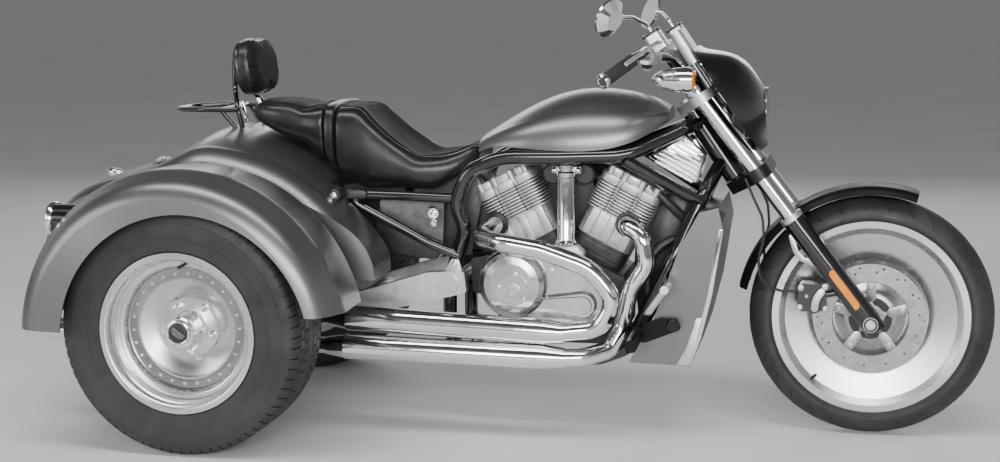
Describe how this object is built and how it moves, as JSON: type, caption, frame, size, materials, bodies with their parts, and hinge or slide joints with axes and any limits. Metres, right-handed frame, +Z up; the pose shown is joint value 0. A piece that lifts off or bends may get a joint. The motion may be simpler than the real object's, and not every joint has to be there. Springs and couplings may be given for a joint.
{
  "type": "motorized trike",
  "caption": "Three-wheeled motorcycle with a V-twin engine, raked fork, low saddle, backrest and a fendered rear body that holds the wide rear wheels and a lidded trunk",
  "frame": {"origin": "on the ground, under the middle of the overall length and width", "axes": "+X ahead, +Y to the rider's left, +Z up"},
  "size_m": [2.5434, 1.32, 1.1534],
  "materials": {
    "gloss_black": "gloss",
    "gunmetal": "satin metallic",
    "silver_case": "satin",
    "dark_metal": "matt",
    "chrome": "polished",
    "polished_alloy": "polished",
    "satin_alloy": "satin",
    "black_plastic": "matt",
    "tyre": "matt",
    "leather": "satin",
    "rubber": "matt",
    "lamp_red": "gloss",
    "lamp_glass": "clear"
  },
  "bodies": {
    "chassis": {"main_frame": "gloss_black", "swingarm": "satin_alloy", "rear_axle": "dark_metal", "rear_body": "gunmetal", "rear_fenders": "gunmetal", "tail_lamps": "lamp_red", "seat": "leather", "backrest_pad": "leather", "luggage_rack": "gloss_black", "tank_cover": "gunmetal", "engine_crankcase": "dark_metal", "rear_cylinder": "silver_case", "front_cylinder": "silver_case", "engine_covers": "polished_alloy", "water_pipe": "chrome", "intake_covers": "chrome", "radiator": "black_plastic", "radiator_shroud": "gunmetal", "upper_exhaust": "chrome", "lower_exhaust": "chrome", "foot_controls": "satin_alloy", "side_covers": "satin_alloy", "drive_belt": "rubber", "belt_pulleys": "satin_alloy"},
    "trunk_lid": {"trunk_lid": "gunmetal"},
    "steering": {"triple_clamps": "satin_alloy", "fork_tubes": "chrome", "fork_sliders": "gloss_black", "front_fender": "gloss_black", "front_axle": "satin_alloy", "front_calipers": "gloss_black", "brake_lines": "rubber", "handlebar": "gloss_black", "grips": "rubber", "bar_controls": "satin_alloy", "mirrors": "chrome", "turn_signals": "chrome", "instrument_cluster": "black_plastic", "headlight_fairing": "gloss_black", "headlamp": "lamp_glass"},
    "front_wheel": {"front_rim": "satin_alloy", "front_tyre": "tyre", "front_brake_discs": "satin_alloy"},
    "rear_right_wheel": {"rear_right_rim": "polished_alloy", "rear_right_tyre": "tyre"},
    "rear_left_wheel": {"rear_left_rim": "polished_alloy", "rear_left_tyre": "tyre"}
  },
  "joints": [
    {"name": "steering_turn", "type": "hinge", "parent": "chassis", "child": "steering", "pos_m": [0.60496, 0, 0.6635], "axis": [-0.5592, 0, 0.829], "range_deg": [-30, 30]},
    {"name": "front_wheel_spin", "type": "hinge", "parent": "steering", "child": "front_wheel", "pos_m": [0.9535, 0, 0.318], "axis": [0, 1, 0], "continuous": true},
    {"name": "rear_right_wheel_spin", "type": "hinge", "parent": "chassis", "child": "rear_right_wheel", "pos_m": [-0.7595, -0.49, 0.322], "axis": [0, 1, 0], "continuous": true},
    {"name": "rear_left_wheel_spin", "type": "hinge", "parent": "chassis", "child": "rear_left_wheel", "pos_m": [-0.7595, 0.49, 0.322], "axis": [0, 1, 0], "continuous": true},
    {"name": "trunk_lid_hinge", "type": "hinge", "parent": "chassis", "child": "trunk_lid", "pos_m": [-0.9805, 0, 0.709], "axis": [0, 1, 0], "range_deg": [0, 70]}
  ]
}
